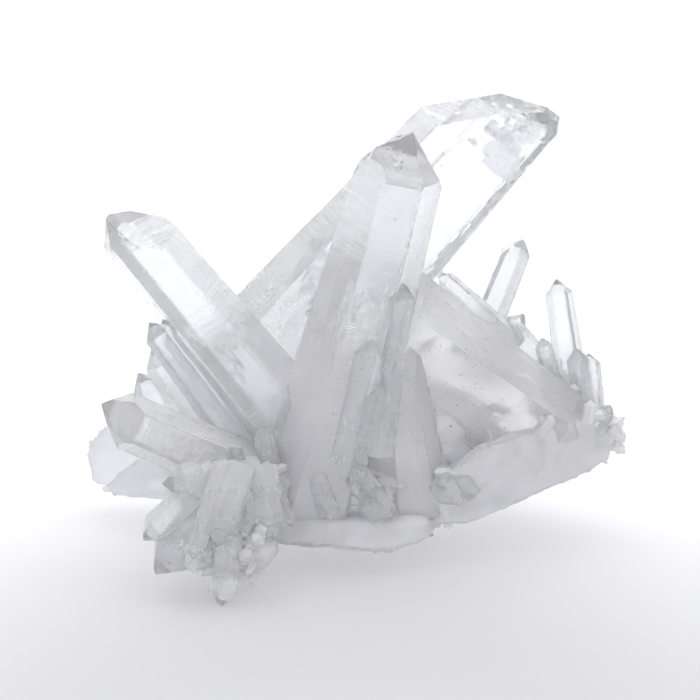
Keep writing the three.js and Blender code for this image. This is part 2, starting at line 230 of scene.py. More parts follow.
FRACTURE_GAP = 0.06  # mm across an open fracture
FRACTURE_RINGS, FRACTURE_SPOKES = 9, 28
FRACTURE_COVER = 0.25  # mm of sound crystal that must be left over a fracture

OVERLAP = 0.1  # mm that one crystal runs into the next, so that no air gap shows
ON_PLANE = 0.03  # mm from a plane within which a point counts as lying on it
STEP_EVERY = 5.0  # mm between the larger growth steps, on average
CLEAREST = 0.96  # even the clearest quartz holds a trace of milk

# Rough lumps of matrix: a centre and three radii.
LUMPS = (
    ((0, 13, 7), (29, 21, 13)),
    ((0, 8, 18), (28, 19, 14)),
    ((-6, 0, 26), (17, 13, 14)),
    ((16, 4, 26), (17, 12, 13)),
    ((-24, 0, 17), (13, 13, 10)),
    ((10, -9, 14), (18, 8, 8)),
    ((-8, -13, 14), (14, 7, 8)),
    ((-21, 16, 19), (15, 11, 13)),
    ((20, 16, 24), (14, 10, 11)),
    ((-22, -18, 18), (8, 10, 8)),
    ((-28, -28, 18), (8, 7, 8)),
    ((-32, -34, 9.5), (10.5, 5.5, 5)),
    ((-23, -33, 9.5), (8, 5, 5.5)),
    ((56, 5, 22), (5, 6, 4)),
    ((51, 6, 27), (5, 4, 7)),
    ((46, 9, 31), (6, 4, 6)),
)

LIP = (
    (-21, -20, 6.5), (-14, -24, 7), (-3, -25.5, 7), (8, -25.5, 5.6), (15, -22.5, 6.8), (18.5, -19, 7),
    (-16, -19, 11), (-4, -22, 11.5), (10, -22, 12), (17, -17, 11.5), (-18, -6, 3), (16, -6, 3), (18, -6, 10),
)
RIGHT_ARM = (
    (18, -16, 8), (26.5, -12.5, 7.2), (33.5, -9, 9.8), (39, -6.5, 10.8), (44, -4, 12.2), (51, -2, 14.3),
    (59, 4, 16.4), (61, 4, 22.5), (54, -2, 29.5), (47, -6, 29.5), (35, -11.5, 26.5), (28, -13.5, 26),
    (22, -15, 21), (52, 16, 26), (40, 24, 14), (20, 22, 3), (58, 10, 24),
)
REAR_PLATE = (
    (-61.5, 17, 12.5), (-61, 16, 16), (-56.5, 14, 21.5), (-59.5, 17, 5), (-52, 18, 4.5), (-42, 18, 6),
    (-44, 14, 24), (-28, 6, 22), (-22, 8, 8), (-58, 21, 12), (-50, 21, 7),
)
FRONT_PLATE = (
    (-55, 8, 10.5), (-57, 8, 7.6), (-54, 9, 5.6), (-44, 8, 5.2), (-38, 4, 6.8), (-24, 0, 8),
    (-47, 5, 18), (-34, 0, 18), (-46, 13, 9), (-26, 12, 8),
)


def linear(hex_value):
    """An sRGB hex colour as linear RGBA."""
    channels = [int(hex_value[i : i + 2], 16) / 255 for i in (1, 3, 5)]
    return tuple(c / 12.92 if c <= 0.04045 else ((c + 0.055) / 1.055) ** 2.4 for c in channels) + (1.0,)


# ---- what a user would change
class QuartzSizes(bpy.types.PropertyGroup):
    """Sizes of the cluster's fine shapes, in millimetres."""

    worn_edge: FloatProperty(
        name="Worn edge", description="Width of the flat on a crystal's edge, mm", default=0.16, min=0
    )
    groove_spacing: FloatProperty(
        name="Groove spacing", description="Growth lines across a prism face, mm", default=0.36, min=0.1
    )
    groove_depth: FloatProperty(
        name="Groove depth", description="How far the growth lines stand out, mm", default=0.04, min=0
    )
    step_height: FloatProperty(
        name="Step height", description="Height of the larger growth steps, mm", default=0.07, min=0
    )
    matrix_grain: FloatProperty(
        name="Matrix grain", description="Mesh size of the rough matrix, mm", default=0.5, min=0.3
    )
    druse_count: IntProperty(name="Druse points", description="Tiny points on the matrix", default=650, min=0)


class QuartzColours(bpy.types.PropertyGroup):
    """Colours of the quartz and its stains."""

    clear: FloatVectorProperty(
        name="Clear quartz", description="Water-clear rock crystal", subtype="COLOR", size=3,
        default=linear("#f5f6f8")[:3], min=0, max=1,
    )
    milk: FloatVectorProperty(
        name="Milky quartz", description="Cloudy quartz near the roots", subtype="COLOR", size=3,
        default=linear("#fefefe")[:3], min=0, max=1,
    )
    rust: FloatVectorProperty(
        name="Iron stain", description="Specks and films of iron oxide", subtype="COLOR", size=3,
        default=linear("#95795e")[:3], min=0, max=1,
    )


# ---- small tools
def node(tree, kind, inputs=None, **settings):
    """Adds a node with its settings, input values and links."""
    made = tree.nodes.new(kind)
    for name, value in settings.items():
        setattr(made, name, value)
    for socket, value in (inputs or {}).items():
        if isinstance(value, bpy.types.NodeSocket):
            tree.links.new(value, made.inputs[socket])
        else:
            made.inputs[socket].default_value = value
    return made


def discard(thing):
    """Removes a helper object and its mesh."""
    mesh = thing.data
    bpy.data.objects.remove(thing)
    bpy.data.meshes.remove(mesh)


def in_scene(name, data):
    """A new object in the scene."""
    made = bpy.data.objects.new(name, data)
    bpy.context.scene.collection.objects.link(made)
    return made


def from_bmesh(name, bm):
    """A new object in the scene with the bmesh's shape."""
    mesh = bpy.data.meshes.new(name)
    bm.to_mesh(mesh)
    bm.free()
    return in_scene(name, mesh)


def places_of(verts):
    """Where vertices are, one row each."""
    return np.array([v.co[:] for v in verts])


def move_to(verts, places):
    """Puts each vertex in its new place."""
    for vert, place in zip(verts, places):
        vert.co = place


def unit(v):
    """The vector with a length of 1."""
    v = np.asarray(v, float)
    return v / np.linalg.norm(v)


def stream(seed):
    """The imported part's own repeatable stream of numbers from 0 to 1."""
    state = seed
    while True:
        state = state * 16807 % 2147483647
        yield state / 2147483647


def smooth(low, high, x):
    """An eased step from 0 at low to 1 at high."""
    t = np.clip((np.asarray(x, float) - low) / (high - low), 0, 1)
    return t * t * (3 - 2 * t)


def rough(points, scale, seed, octaves=3):
    """Fractal noise, about -1 to 1, at many points."""
    move = Vector((seed * 7.31, seed * 3.17, seed * 5.71))
    return np.array([noise.fractal(Vector(p) * scale + move, 1.0, 2.0, octaves) for p in points])


# ---- crystals from planes
class Crystal:
    """One crystal's planes and axes, in the part's millimetres."""

    def __init__(self, index, name, foot, tip, sides, turn, taper=SMALL_TAPER, caps=SMALL_CAPS, breaks=()):
        self.index, self.name = index, name
        self.foot, self.tip = np.array(foot, float), np.array(tip, float)
        if not isinstance(sides, tuple):
            numbers = stream(11 + 29 * index)
            sides = tuple(sides * (1 + UNEVEN * (2 * next(numbers) - 1)) for _ in range(6))
        self.sides = sides
        self.along = unit(self.tip - self.foot)
        front = np.array((0.0, -1.0, 0.0))
        self.front = unit(front - self.along * front.dot(self.along))
        self.across = np.cross(self.along, self.front)
        self.length = np.linalg.norm(self.tip - self.foot)
        mean = sum(sides) / 6
        self.width = 2 * mean
        shoulder = self.tip - self.along * mean * POINT_RISE
        lean = math.radians(taper)
        self.normals, self.limits, self.kinds = [], [], []
        self._plane(-self.along, self.foot, "root")
        for face in range(6):
            angle = math.radians(turn) + face * math.pi / 3
            out = self.front * math.cos(angle) + self.across * math.sin(angle)
            side = out * math.cos(lean) + self.along * math.sin(lean)
            self._plane(side, shoulder + out * sides[face], "prism")
            cap = out * math.sin(POINT_ANGLE) + self.along * math.cos(POINT_ANGLE)
            self._plane(cap, self.tip + self.along * caps[face], "cap")
        for facing, at in breaks:
            self._plane(unit(facing), np.array(at, float), "break")
        self.normals, self.limits = np.array(self.normals), np.array(self.limits)

    def _plane(self, normal, point, kind):
        self.normals.append(normal)
        self.limits.append(float(normal @ point))
        self.kinds.append(kind)

    def shift(self, move):
        self.foot, self.tip = self.foot + move, self.tip + move
        self.limits = self.limits + self.normals @ move

    def holds(self, points, grow=0.0):
        """True for each point inside the crystal, grown by that much."""
        return np.all(points @ self.normals.T <= self.limits + grow, axis=1)


def corners_of(normals, limits):
    """The corners of the convex body that planes bound."""
    triples = np.array(list(itertools.combinations(range(len(normals)), 3)))
    n, d = normals[triples], limits[triples]
    span = np.linalg.det(n)
    good = np.abs(span) > 1e-3
    points = np.linalg.solve(n[good], d[good][..., None])[..., 0]
    points = points[np.all(points @ normals.T <= limits + 1e-5, axis=1)]
    return points[np.unique(np.round(points, 4), axis=0, return_index=True)[1]]


def chamfered(crystal, width):
    """The crystal's planes with a narrow plane along every natural edge."""
    corners = corners_of(crystal.normals, crystal.limits)
    on = np.abs(corners @ crystal.normals.T - crystal.limits) < 1e-3
    normals, limits = list(crystal.normals), list(crystal.limits)
    for i, j in itertools.combinations(range(len(crystal.kinds)), 2):
        both = corners[on[:, i] & on[:, j]]
        if len(both) < 2 or "root" in (crystal.kinds[i], crystal.kinds[j]):
            continue
        bisector = crystal.normals[i] + crystal.normals[j]
        half = math.acos(min(1.0, np.linalg.norm(bisector) / 2))
        normal = unit(bisector)
        wear = width * (0.6 + 0.8 * abs(math.sin(7.3 * i + 3.1 * j + crystal.index)))
        normals.append(normal)
        limits.append(float(normal @ both[0]) - wear / 2 * math.tan(half))
    return np.array(normals), np.array(limits)


def hull(name, points):
    """A closed convex mesh object with flat faces whole, round a set of points."""
    bm = bmesh.new()
    for p in points:
        bm.verts.new(p)
    made = bmesh.ops.convex_hull(bm, input=bm.verts)
    spare = {v for key in ("geom_interior", "geom_unused") for v in made[key] if isinstance(v, bmesh.types.BMVert)}
    bmesh.ops.delete(bm, geom=list(spare), context="VERTS")
    bmesh.ops.dissolve_limit(bm, angle_limit=math.radians(0.3), verts=bm.verts, edges=bm.edges)
    bmesh.ops.recalc_face_normals(bm, faces=bm.faces)
    return from_bmesh(name, bm)


def cut_back(solid, cutters):
    """Takes the cutters' bodies out of a solid and keeps its largest piece."""
    for cutter in cutters:
        modifier = solid.modifiers.new("cut", "BOOLEAN")
        modifier.operation, modifier.solver, modifier.object = "DIFFERENCE", "EXACT", cutter
    mesh = bpy.data.meshes.new_from_object(solid.evaluated_get(bpy.context.evaluated_depsgraph_get()))
    solid.modifiers.clear()
    bm = bmesh.new()
    bm.from_mesh(mesh)
    bpy.data.meshes.remove(mesh)
    keep_largest(bm)
    bmesh.ops.dissolve_limit(bm, angle_limit=math.radians(0.3), verts=bm.verts, edges=bm.edges)
    return bm


def keep_largest(bm):
    """Leaves only the piece with the most volume."""
    left, pieces = set(bm.faces), []
    while left:
        stack, piece = [left.pop()], []
        while stack:
            face = stack.pop()
            piece.append(face)
            for edge in face.edges:
                for other in edge.link_faces:
                    if other in left:
                        left.remove(other)
                        stack.append(other)
        volume = abs(sum(f.calc_area() * f.calc_center_median().dot(f.normal) for f in piece))
        pieces.append((volume, len(pieces), piece))
    pieces.sort(reverse=True)
    spare = [f for _, _, piece in pieces[1:] for f in piece]
    bmesh.ops.delete(bm, geom=spare, context="FACES")


def slice_up(bm, direction, first, last, spacing, centre):
    """Cuts the surface with parallel planes, so that fine shapes can follow them."""
    count = int((last - first) / spacing)
    for i in range(1, count):
        at = centre + direction * (first + i * spacing)
        geom = bm.verts[:] + bm.edges[:] + bm.faces[:]
        bmesh.ops.bisect_plane(bm, geom=geom, dist=1e-5, plane_co=at, plane_no=direction)


def growth_profile(crystal, face, length, sizes):
    """The height of one prism face along the axis: fine grooves and a few larger steps."""
    chance = random.Random(1000 + 17 * crystal.index + face)
    count = int(length / sizes.groove_spacing) + 3
    fine = np.array([chance.uniform(-1, 1) for _ in range(count)]) * sizes.groove_depth
    coarse, level = [], 0.0
    for _ in range(count):
        if chance.random() < sizes.groove_spacing / STEP_EVERY:
            level = chance.uniform(-1, 1) * sizes.step_height
        coarse.append(level)
    return fine + np.array(coarse)


def dress(crystal, bm, sizes):
    """Moves the sliced surface to natural growth shapes, and returns the values its material reads."""
    points = places_of(bm.verts)
    bm.normal_update()
    normals = np.array([v.normal[:] for v in bm.verts])
    local = points - crystal.foot
    s = local @ crystal.along
    across, front = local @ crystal.across, local @ crystal.front
    depth = crystal.limits - points @ crystal.normals.T
    near = depth < ON_PLANE
    height = np.zeros(len(points))
    prism = np.zeros(len(points))
    broken = np.zeros(len(points))
    waver = rough(points, 0.12, crystal.index + 1, 2)
    for k, kind in enumerate(crystal.kinds):
        on = near[:, k]
        if not on.any():
            continue
        if kind == "prism":
            profile = growth_profile(crystal, k, crystal.length, sizes)
            wander = s[on] + 0.9 * waver[on]
            height[on] += np.interp(wander / sizes.groove_spacing, np.arange(len(profile)), profile)
            prism[on] = 1
            face = crystal.kinds[:k].count("prism")
            sideways = local[on] @ np.cross(crystal.along, crystal.normals[k])
            for which, offset, drop in TERRACES.get(crystal.name, ()):
                if which == face:
                    jag = 0.9 * np.round(2.2 * rough(points[on], 0.09, 60 + which + offset, 2))
                    jag += 0.25 * waver[on]
                    height[on] -= drop * smooth(-0.2, 0.2, sideways - offset - jag)
        elif kind == "cap":
            height[on] += 0.03 * waver[on]
        elif kind == "break":
            broken[on] = 1
    if broken.any():
        on = broken > 0
        shell = points[on] - (crystal.tip + crystal.across * 3)
        ring = np.linalg.norm(shell, axis=1)
        ripple = 0.18 * np.sin(ring * 1.7 + 1.5 * waver[on])
        ripple -= 0.25 * np.abs(rough(points[on], 0.22, 90 + crystal.index))
        height[on] += np.minimum(ripple, 0.05)
    start, full, root, point = CLARITY.get(crystal.name, USUAL_CLARITY)
    share = s / crystal.length
    clear = root + (point - root) * smooth(start, full, share + 0.05 * waver)
    etched = (1 - smooth(0.0, start + 0.15, share)) * 0.16 * rough(points, 0.55, 40 + crystal.index, 3)
    height += etched
    move_to(bm.verts, points + normals * height[:, None])
    on_sides, on_point = STAINS.get(crystal.name, USUAL_STAIN)
    capped = smooth(0.86, 0.93, share)
    patches = smooth(-0.25, 0.35, rough(points, 0.07, 21 + crystal.index, 3))
    stain = (on_sides * (1 - capped) + on_point * capped) * (0.35 + 0.65 * patches)
    return {
        "growth": np.stack([across, front, s], axis=1),
        "clarity": np.clip(clear, 0, CLEAREST),
        "prism": prism * (1 - broken),
        "stain": stain,
    }


def open_fracture(bm, crystal, share, across, front, facing, long_way, wide_way, crumple, clear, seed):
    """Adds a thin crumpled gap inside a crystal, its faces turned in, and returns its points' clarity."""
    axes = np.array((crystal.along, crystal.across, crystal.front))
    facing = unit(np.array(facing, float) @ axes)
    first = unit(crystal.along - facing * crystal.along.dot(facing))
    second = np.cross(facing, first)
    centre = crystal.foot + np.array((share * crystal.length, across, front)) @ axes
    rings, spokes = FRACTURE_RINGS, FRACTURE_SPOKES
    sheets = []
    for side in (1, -1):
        middle = bm.verts.new(centre + facing * side * FRACTURE_GAP / 2)
        rows = [[middle] * spokes]
        for ring in range(1, rings + 1):
            if ring == rings and side < 0:
                rows.append(sheets[0][-1])
                continue
            reach = ring / rings
            row = []
            for spoke in range(spokes):
                turn = 2 * math.pi * spoke / spokes
                rim = Vector((math.cos(turn) * 1.9, math.sin(turn) * 1.9, seed))
                torn = 1 + 0.5 * noise.fractal(rim, 0.6, 2.2, 3)
                flat = first * long_way * math.cos(turn) + second * wide_way * math.sin(turn)
                at = centre + flat * reach * torn
                ripple = crumple * noise.fractal(Vector(at) * 0.45 + Vector((seed, 0, 0)), 1.0, 2.0, 3)
                ripple += crumple * 0.12 * math.sin(reach * 14 + 2 * ripple)
                gap = side * FRACTURE_GAP / 2 * (1 - reach * reach)
                row.append(bm.verts.new(at + facing * (ripple + gap)))
            rows.append(row)
        lift = crumple * noise.fractal(Vector(centre) * 0.45 + Vector((seed, 0, 0)), 1.0, 2.0, 3)
        middle.co += Vector(facing) * lift
        sheets.append(rows)
        for ring in range(rings):
            for spoke in range(spokes):
                after = (spoke + 1) % spokes
                loop = [rows[ring][spoke], rows[ring + 1][spoke], rows[ring + 1][after], rows[ring][after]]
                loop = list(dict.fromkeys(loop))
                bm.faces.new(loop if side < 0 else loop[::-1])
    count = 2 * (1 + (rings - 1) * spokes) + spokes
    return np.full(count, clear)


def add_fractures(crystal, bm, values):
    """Opens a crystal's fractures, leaving out any that would reach its surface."""
    for number, fracture in enumerate(FRACTURES.get(crystal.name, ())):
        clear = open_fracture(bm, crystal, *fracture, seed=crystal.index * 5.3 + number * 2.7)
        bm.verts.ensure_lookup_table()
        fresh = bm.verts[-len(clear) :]
        points = places_of(fresh)
        if not crystal.holds(points, -FRACTURE_COVER).all():
            centre = points.mean(0)
            for _ in range(12):
                points = centre + (points - centre) * 0.88
                if crystal.holds(points, -FRACTURE_COVER).all():
                    break
            else:
                bmesh.ops.delete(bm, geom=list(fresh), context="VERTS")
                continue
            move_to(fresh, points)
        local = points - crystal.foot
        growth = np.stack([local @ crystal.across, local @ crystal.front, local @ crystal.along], axis=1)
        extra = {"growth": growth, "clarity": clear}
        for name, data in values.items():
            more = extra.get(name, np.zeros((len(clear), *data.shape[1:])))
            values[name] = np.concatenate([data, more])


def write_values(mesh, values):
    """Stores per-point values that materials read."""
    for name, data in values.items():
        kind = "FLOAT_VECTOR" if data.ndim == 2 else "FLOAT"
        layer = mesh.attributes.new(name, kind, "POINT")
        layer.data.foreach_set("vector" if data.ndim == 2 else "value", data.astype(np.float32).ravel())


def finish_piece(name, bm, values, material, replaced, crease=22):
    """Turns a bmesh in millimetres into a named piece of the cluster, in metres."""
    bmesh.ops.scale(bm, vec=(MM, MM, MM), verts=bm.verts)
    piece = from_bmesh(name, bm)
    mesh = piece.data
    write_values(mesh, values)
    mesh.shade_smooth()
    mesh.set_sharp_from_angle(angle=math.radians(crease))
    mesh.materials.append(material)
    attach(piece, "root")
    if replaced:
        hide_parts(*replaced)
    return piece


def all_crystals():
    """Every crystal, moved from its working place to the part's place."""
    crystals = [Crystal(i, *row, BREAKS.get(row[0], ())) for i, row in enumerate(LARGE_CRYSTALS)]
    for name, foot, tip, side, turn in SMALL_CRYSTALS:
        crystals.append(Crystal(len(crystals), name, foot, tip, side, turn))
    first = crystals[0]
    low = corners_of(first.normals, first.limits).min(0)
    packed = np.array(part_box(first.name)[0]) / MM
    move = packed - low
    for crystal in crystals:
        crystal.shift(move)
    return crystals, move


def grow(crystals, wanted, material, slot, sizes):
    """Builds the wanted crystals, each cut back by the ones before it."""
    hulls = {}
    for crystal in crystals:
        hulls[crystal.name] = corners_of(crystal.normals, crystal.limits - OVERLAP)
    for i, crystal in enumerate(crystals):
        if crystal.name not in wanted:
            continue
        body = hull("body", corners_of(*chamfered(crystal, sizes.worn_edge * min(1, crystal.width / 6))))
        low, high = hulls[crystal.name].min(0), hulls[crystal.name].max(0)
        cutters = []
        for other in crystals[:i]:
            its = hulls[other.name]
            if np.all(its.min(0) < high) and np.all(its.max(0) > low):
                cutters.append(hull("cutter", its))
        bm = cut_back(body, cutters)
        for spare in (body, *cutters):
            discard(spare)
        middle = crystal.foot
        side = crystal.width * 1.1
        lateral = 0.65 if crystal.width > 9 else 0.8
        slice_up(bm, crystal.across, -side, side, lateral, middle)
        slice_up(bm, crystal.front, -side, side, lateral, middle)
        spacing = sizes.groove_spacing if crystal.width > 8 else sizes.groove_spacing * 1.3
        slice_up(bm, crystal.along, 0, crystal.length + 3, spacing, middle)
        values = dress(crystal, bm, sizes)
        add_fractures(crystal, bm, values)
        finish_piece(f"{crystal.name}_quartz", bm, values, material, [crystal.name])


# ---- the matrix
def lump_corners(centre, radii, seed):
    """Forty uneven corners of one lump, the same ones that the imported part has."""
    numbers = stream(seed)
    points = []
    for i in range(40):
        height = 1 - 2 * (i + 0.5) / 40
        ring = math.sqrt(1 - height * height)
        turn = i * math.pi * (3 - math.sqrt(5))
        out = np.array((ring * math.cos(turn), ring * math.sin(turn), height))
        points.append(out * radii * (1 + 0.16 * (next(numbers) - 0.5)) + centre)
    return np.array(points)


def matrix_mesh(move, grain):
    """The lumps and plates joined into one fine skin."""
    parts = [lump_corners(np.array(at), np.array(radii), 101 + 37 * i) for i, (at, radii) in enumerate(LUMPS)]
    parts += [np.array(corners, float) for corners in (LIP, RIGHT_ARM, REAR_PLATE, FRONT_PLATE)]
    bm = bmesh.new()
    for corners in parts:
        part = hull("part", corners + move)
        bm.from_mesh(part.data)
        discard(part)
    rock = from_bmesh("rough_matrix", bm)
    modifier = rock.modifiers.new("skin", "REMESH")
    modifier.mode, modifier.voxel_size = "VOXEL", grain
    skin = bpy.data.meshes.new_from_object(rock.evaluated_get(bpy.context.evaluated_depsgraph_get()))
    discard(rock)
    return skin


def facets(points, size, seed):
    """Small pyramids, 0 to 1 high, one per cell of that size."""
    move = Vector((seed * 3.7, seed * 1.9, seed * 6.1))
    out = []
    for p in points:
        distances = noise.voronoi(Vector(p) / size + move, distance_metric="MANHATTAN")[0]
        out.append(1 - min(1.0, distances[0]))
    return np.array(out)


def edge_share(bm, normals):
    """0 on open faces, rising to 1 along the edges of a plate."""
    pairs = np.array([(e.verts[0].index, e.verts[1].index) for e in bm.edges])
    mean = normals.copy()
    for _ in range(4):
        total = mean.copy()
        count = np.ones((len(mean), 1))
        for here, there in (pairs.T, pairs.T[::-1]):
            np.add.at(total, here, mean[there])
            np.add.at(count, here, 1)
        mean = total / count
    return smooth(0.02, 0.14, 1 - np.linalg.norm(mean, axis=1))


def build_matrix(move, material, sizes):
    """The rough matrix: broken and sugary, with smoother plates, lip and arm."""
    skin = matrix_mesh(move, sizes.matrix_grain)
    bm = bmesh.new()
    bm.from_mesh(skin)
    bpy.data.meshes.remove(skin)
    keep_largest(bm)
    bm.normal_update()
    bm.verts.index_update()
    points = places_of(bm.verts)
    normals = np.array([v.normal[:] for v in bm.verts])
    x, y, z = (points - move).T
    arm = smooth(18, 26, x) * smooth(6, -2, y) * smooth(31, 26, z)
    lip = smooth(-13, -18, y) * smooth(14, 11.5, z) * smooth(-22, -18, x)
    plates = smooth(-38, -42, x)
    flat = np.clip(arm + lip + plates * 0.8, 0, 1)
    coarse = facets(points, 4.2, 3)
    fine = facets(points, 1.7, 5)
    broken = rough(points, 0.13, 8, 4)
    edge = edge_share(bm, normals)
    ragged = facets(points, 3.1, 11)
    height = (1 - flat) * (1.3 * (coarse - 0.5) + 0.55 * (fine - 0.5))
    height += flat * (0.55 * broken + 1.5 * edge * (ragged - 0.55))
    low = smooth(0.0, 1.2, z)
    height *= low
    moved = points + normals * height[:, None]
    moved[:, 2] = np.maximum(moved[:, 2], 0)
    move_to(bm.verts, moved)
    patches = smooth(0.05, 0.45, rough(points, 0.06, 31, 3))
    values = {
        "growth": points - move,
        "clarity": 0.22 + 0.16 * flat + 0.2 * edge,
        "stain": (1 - flat) * (0.05 + 0.3 * patches),
        "flat": flat,
    }
    return finish_piece("matrix_rock", bm, values, material, ["matrix"], crease=180)


def tiny_point(bm, base, direction, radius, length, chance):
    """One six-sided point, added to a bmesh."""
    along = unit(direction)
    side = unit(np.cross(along, (0.3, 0.9, 0.2)))
    other = np.cross(along, side)
    start = chance.uniform(0, math.pi)
    lopsided = [radius * chance.uniform(0.75, 1.2) for _ in range(6)]
    rings = []
    for height, grow in ((-0.3 * length, 1.05), (length * 0.72, 0.95)):
        ring = []
        for k in range(6):
            turn = start + k * math.pi / 3
            out = side * math.cos(turn) + other * math.sin(turn)
            tilt = chance.uniform(-0.08, 0.08) * length if height > 0 else 0
            ring.append(bm.verts.new(base + out * lopsided[k] * grow + along * (height + tilt)))
        rings.append(ring)
    tip = bm.verts.new(base + along * length * 1.05 + side * chance.uniform(-0.3, 0.3) * radius)
    for k in range(6):
        j = (k + 1) % 6
        bm.faces.new((rings[0][k], rings[0][j], rings[1][j], rings[1][k]))
        bm.faces.new((rings[1][k], rings[1][j], tip))
    bm.faces.new(list(reversed(rings[0])))


def build_druse(rock, crystals, move, material, sizes):
    """Tiny points all over the rough parts of the matrix."""
    chance = random.Random(77)
    mesh = rock.data
    count = len(mesh.polygons)
    centres = np.zeros(count * 3)
    normals = np.zeros(count * 3)
    mesh.polygons.foreach_get("center", centres)
    mesh.polygons.foreach_get("normal", normals)
    centres, normals = centres.reshape(-1, 3) / MM, normals.reshape(-1, 3)
    free = centres[:, 2] > 3
    for crystal in crystals:
        free &= ~crystal.holds(centres, 0.2)
    flat = np.zeros(len(mesh.vertices))
    mesh.attributes["flat"].data.foreach_get("value", flat)
    corner = np.array([p.vertices[0] for p in mesh.polygons])
    free &= flat[corner] < 0.5
    x, y, z = (centres - move).T
    gap = free & (y < -8) & (np.abs(x - 4) < 30) & (z > 9) & (z < 30)
    crumbs = free & (x > 41) & (z > 20)
    skirt = free & (x < -14) & (y < -24) & (z < 20)
    bm = bmesh.new()
    regions = (
        (free, sizes.druse_count, (0.35, 0.5, 0.7, 1.0), 0.45),
        (gap, sizes.druse_count // 4, (0.6, 0.9, 1.3, 1.8), 0.7),
        (crumbs, sizes.druse_count // 4, (0.7, 1.0, 1.4), 0.6),
        (skirt, sizes.druse_count // 5, (0.5, 0.8, 1.2), 0.5),
    )
    for region, count, radii, scatter in regions:
        choice = np.flatnonzero(region)
        for _ in range(count if len(choice) else 0):
            at = chance.choice(choice)
            normal = normals[at]
            lean = np.array([chance.gauss(0, scatter) for _ in range(3)])
            radius = chance.choice(radii)
            length = radius * chance.uniform(1.5, 3.2)
            tiny_point(bm, centres[at] - normal * 0.3, normal + lean, radius, length, chance)
    points = places_of(bm.verts)
    values = {
        "growth": points - move,
        "clarity": np.full(len(points), 0.1),
        "prism": np.zeros(len(points)),
        "stain": np.full(len(points), 0.15),
    }
    finish_piece("druse_points", bm, values, material, [], crease=10)


# ---- materials
# Patterns lie in each crystal's own millimetres: across it, to its front and along its axis.
CLOUDS_PER_MM, CLOUD_STRETCH = 0.6, (1.0, 1.0, 0.3)  # clouds about 1.7 mm wide and three times as long
WISPS_PER_MM = 1.7  # thin veils about 0.6 mm apart
SPECKS_PER_MM, SPECK_RADII = 0.95, (0.07, 0.2)  # about one place a millimetre, 0.15 to 0.4 mm across
MATRIX_SPECKS_PER_MM, MATRIX_SPECK_RADII = 0.8, (0.17, 0.17)  # 0.4 mm across
THREADS_PER_MM = (2.4, 2.4, 0.14)  # threads of milk about 0.4 mm apart and 7 mm long
LINES_PER_MM = (0.12, 0.12, 4.5)  # growth lines about 0.2 mm apart and 8 mm long
GRAIN_PER_MM = 1.3  # real milk is far finer grained: drawn coarse enough to show
MOTTLE_PER_MM = 0.35  # cloudiness of the matrix, about 3 mm
SUGAR_PER_MM = 1.1  # real sugary grain is finer: drawn coarse enough to show
QUARTZ_IOR = 1.544
GLOW_DEPTH = 0.0015  # metres that light spreads below the surface of milky quartz


def new_material(name):
    """An empty material and its nodes."""
    material = bpy.data.materials.new(name)
    material.use_nodes = True
    material.node_tree.nodes.clear()
    return material, material.node_tree


def iron_specks(tree, growth, per_mm, radii):
    """Round specks, commoner where iron stains: 1 inside them, with a chance value for each."""
    stain = node(tree, "ShaderNodeAttribute", attribute_name="stain").outputs["Fac"]
    cells = node(tree, "ShaderNodeTexVoronoi", {"Vector": growth, "Scale": per_mm}, feature="F1")
    chances = node(tree, "ShaderNodeSeparateColor", {0: cells.outputs["Color"]}).outputs
    sizes = {"Value": chances[1], "To Min": radii[0], "To Max": radii[1]}
    reach = node(tree, "ShaderNodeMapRange", sizes).outputs[0]
    inside = node(tree, "ShaderNodeMath", {0: cells.outputs["Distance"], 1: reach}, operation="LESS_THAN")
    rarity = node(tree, "ShaderNodeMath", {0: 1.0, 1: stain}, operation="SUBTRACT")
    chosen = node(tree, "ShaderNodeMath", {0: chances[0], 1: rarity.outputs[0]}, operation="GREATER_THAN")
    both = {0: inside.outputs[0], 1: chosen.outputs[0]}
    return node(tree, "ShaderNodeMath", both, operation="MULTIPLY").outputs[0], chances[2]


